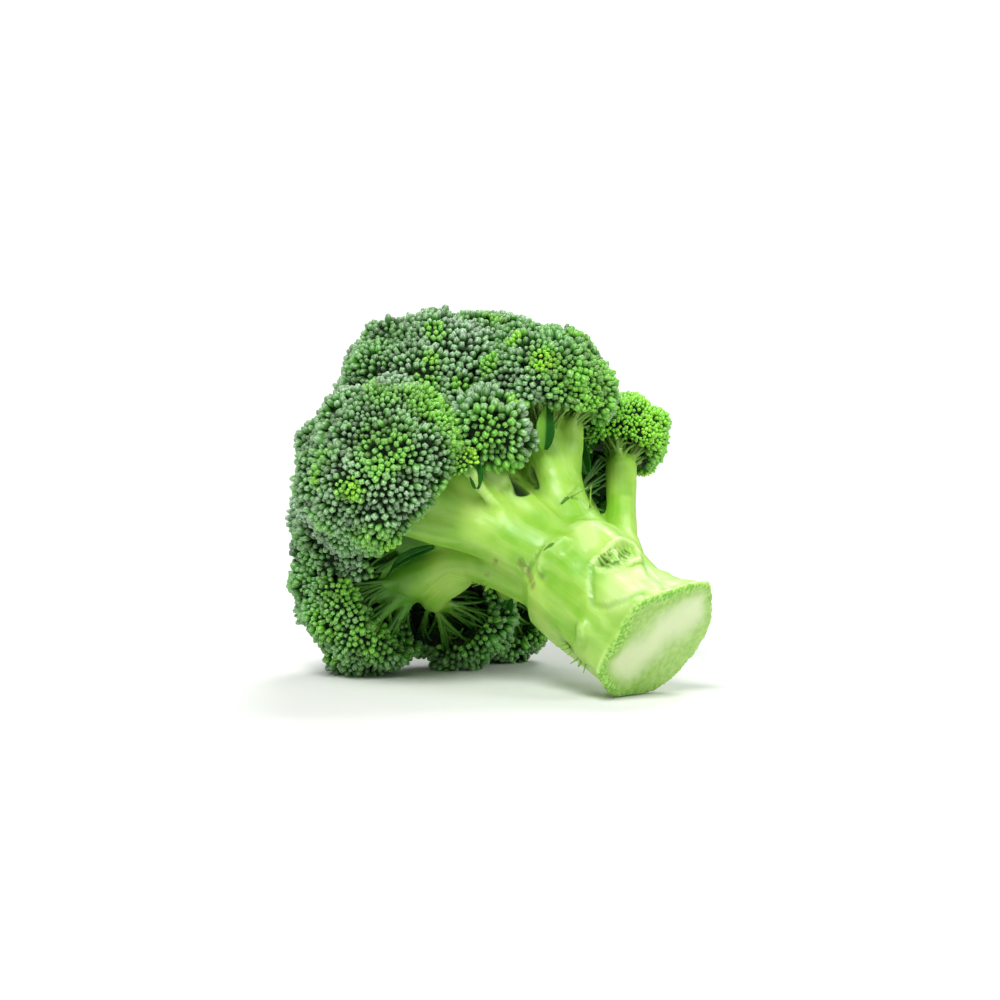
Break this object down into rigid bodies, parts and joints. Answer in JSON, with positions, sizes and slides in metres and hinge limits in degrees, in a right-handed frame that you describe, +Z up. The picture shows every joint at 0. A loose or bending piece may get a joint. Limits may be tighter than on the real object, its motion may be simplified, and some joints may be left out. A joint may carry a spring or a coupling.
{
  "type": "broccoli head",
  "caption": "Broccoli head lying on its side: a branching green stalk with a cut end, crowns of flower buds and small leaves.",
  "frame": {"origin": "on the surface that the head lies on, under the centre of its bounding box", "axes": "+X along the stalk towards its cut end, seen from above; +Y across the head; +Z up, away from the surface it lies on"},
  "size_m": [0.153, 0.1409, 0.1237],
  "materials": {
    "stalk": "smooth moist vegetable stem, pale yellow-green",
    "buds": "tight beads of flower buds, grey-green with a waxy bloom",
    "leaf": "matt blade, dark blue-green"
  },
  "bodies": {
    "root": {"stalk": "stalk", "floret_top_right": "buds", "floret_right": "buds", "floret_back_right": "buds", "floret_bottom_right": "buds", "floret_bottom": "buds", "floret_bottom_left": "buds", "floret_left": "buds", "floret_inner": "buds", "floret_small": "buds", "floret_top": "buds", "floret_top_back": "buds", "floret_apex": "buds", "floret_back_low": "buds", "floret_low_left": "buds", "leaf_left_fork": "leaf", "leaf_inner": "leaf", "leaf_top_right": "leaf", "leaf_bottom": "leaf", "leaf_back_right": "leaf"}
  },
  "joints": []
}
